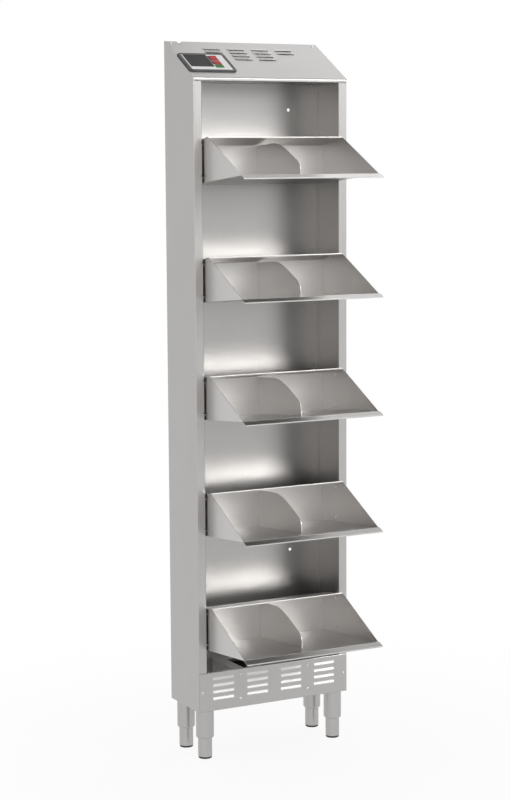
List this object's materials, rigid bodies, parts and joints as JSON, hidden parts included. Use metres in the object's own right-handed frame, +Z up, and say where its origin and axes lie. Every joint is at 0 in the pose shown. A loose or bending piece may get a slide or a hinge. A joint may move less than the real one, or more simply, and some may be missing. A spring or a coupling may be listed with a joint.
{
  "type": "shoe dryer",
  "caption": "Tall slim stainless shoe drying cabinet on legs, with hanging open bins, a louvred base with a warm air tray, and a sloped head with a small control panel.",
  "frame": {"origin": "on the floor, in the middle of the footprint that the bins' lips and the back panel bound", "axes": "+Z up, front faces -Y, +X to the viewer's right when facing the front"},
  "size_m": [0.48, 0.423, 2.007],
  "materials": {
    "satin_steel": "satin stainless sheet and tube",
    "bin_steel": "polished stainless sheet",
    "bright_steel": "bright fasteners",
    "black_rubber": "matte",
    "dark_plastic": "fine satin",
    "white_plastic": "satin face plate",
    "display_black": "dark display window",
    "dark_red_lens": "unlit indicator lens",
    "red_key": "satin key",
    "green_key": "satin key",
    "board_green": "circuit board",
    "black_plastic": "moulded",
    "black_heater": "heat resistant black",
    "aluminium_can": "plain",
    "ivory_plastic": "moulded",
    "grey_plastic": "trunking"
  },
  "bodies": {
    "cabinet": {"side_panel_left": "satin_steel", "side_panel_right": "satin_steel", "back_panel": "satin_steel", "head_shelf": "satin_steel", "top_cover": "satin_steel", "cover_screws": "bright_steel", "kick_panel": "satin_steel", "kick_screws": "bright_steel", "fan_tray": "satin_steel", "leg_plate_left": "satin_steel", "leg_plate_right": "satin_steel", "leg_front_left": "satin_steel", "leg_front_right": "satin_steel", "leg_rear_left": "satin_steel", "leg_rear_right": "satin_steel", "leg_bolts": "bright_steel", "control_bezel": "dark_plastic", "control_face": "white_plastic", "display_window": "display_black", "indicator_window": "dark_red_lens", "controller_tub": "dark_plastic", "control_board": "board_green", "fan_frame": "black_plastic", "heater": "black_heater", "thermostat": "aluminium_can", "terminal_block": "ivory_plastic", "cable_gland": "black_rubber", "cable_conduit": "grey_plastic"},
    "bin_1": {"bin_pan_1": "bin_steel", "bin_ends_1": "bin_steel", "bin_divider_1": "bin_steel", "bin_pins_1": "bright_steel"},
    "bin_2": {"bin_pan_2": "bin_steel", "bin_ends_2": "bin_steel", "bin_divider_2": "bin_steel", "bin_pins_2": "bright_steel"},
    "bin_3": {"bin_pan_3": "bin_steel", "bin_ends_3": "bin_steel", "bin_divider_3": "bin_steel", "bin_pins_3": "bright_steel"},
    "bin_4": {"bin_pan_4": "bin_steel", "bin_ends_4": "bin_steel", "bin_divider_4": "bin_steel", "bin_pins_4": "bright_steel"},
    "bin_5": {"bin_pan_5": "bin_steel", "bin_ends_5": "bin_steel", "bin_divider_5": "bin_steel", "bin_pins_5": "bright_steel"},
    "foot_front_left": {"foot_front_left": "satin_steel", "pad_front_left": "black_rubber"},
    "foot_front_right": {"foot_front_right": "satin_steel", "pad_front_right": "black_rubber"},
    "foot_rear_left": {"foot_rear_left": "satin_steel", "pad_rear_left": "black_rubber"},
    "foot_rear_right": {"foot_rear_right": "satin_steel", "pad_rear_right": "black_rubber"},
    "timer_key": {"timer_key": "red_key"},
    "stop_key": {"stop_key": "red_key"},
    "start_key": {"start_key": "green_key"},
    "rotor": {"fan_rotor": "black_plastic"}
  },
  "joints": [
    {"name": "bin_1_lift", "type": "slide", "parent": "cabinet", "child": "bin_1", "axis": [0, -0.866, 0.5], "range_m": [0, 0.13]},
    {"name": "bin_2_lift", "type": "slide", "parent": "cabinet", "child": "bin_2", "axis": [0, -0.866, 0.5], "range_m": [0, 0.13]},
    {"name": "bin_3_lift", "type": "slide", "parent": "cabinet", "child": "bin_3", "axis": [0, -0.866, 0.5], "range_m": [0, 0.13]},
    {"name": "bin_4_lift", "type": "slide", "parent": "cabinet", "child": "bin_4", "axis": [0, -0.866, 0.5], "range_m": [0, 0.13]},
    {"name": "bin_5_lift", "type": "slide", "parent": "cabinet", "child": "bin_5", "axis": [0, -0.866, 0.5], "range_m": [0, 0.13]},
    {"name": "foot_front_left_height", "type": "slide", "parent": "cabinet", "child": "foot_front_left", "axis": [0, 0, 1], "range_m": [-0.025, 0.015]},
    {"name": "foot_front_right_height", "type": "slide", "parent": "cabinet", "child": "foot_front_right", "axis": [0, 0, 1], "range_m": [-0.025, 0.015]},
    {"name": "foot_rear_left_height", "type": "slide", "parent": "cabinet", "child": "foot_rear_left", "axis": [0, 0, 1], "range_m": [-0.025, 0.015]},
    {"name": "foot_rear_right_height", "type": "slide", "parent": "cabinet", "child": "foot_rear_right", "axis": [0, 0, 1], "range_m": [-0.025, 0.015]},
    {"name": "timer_key_press", "type": "slide", "parent": "cabinet", "child": "timer_key", "axis": [0, 0.5039, -0.8638], "range_m": [0, 0.0008], "stiffness_N_per_m": 1500},
    {"name": "stop_key_press", "type": "slide", "parent": "cabinet", "child": "stop_key", "axis": [0, 0.5039, -0.8638], "range_m": [0, 0.0008], "stiffness_N_per_m": 1500},
    {"name": "start_key_press", "type": "slide", "parent": "cabinet", "child": "start_key", "axis": [0, 0.5039, -0.8638], "range_m": [0, 0.0008], "stiffness_N_per_m": 1500},
    {"name": "rotor_spin", "type": "hinge", "parent": "cabinet", "child": "rotor", "pos_m": [0, 0.1235, 0.19], "axis": [0, 0, 1], "continuous": true}
  ]
}
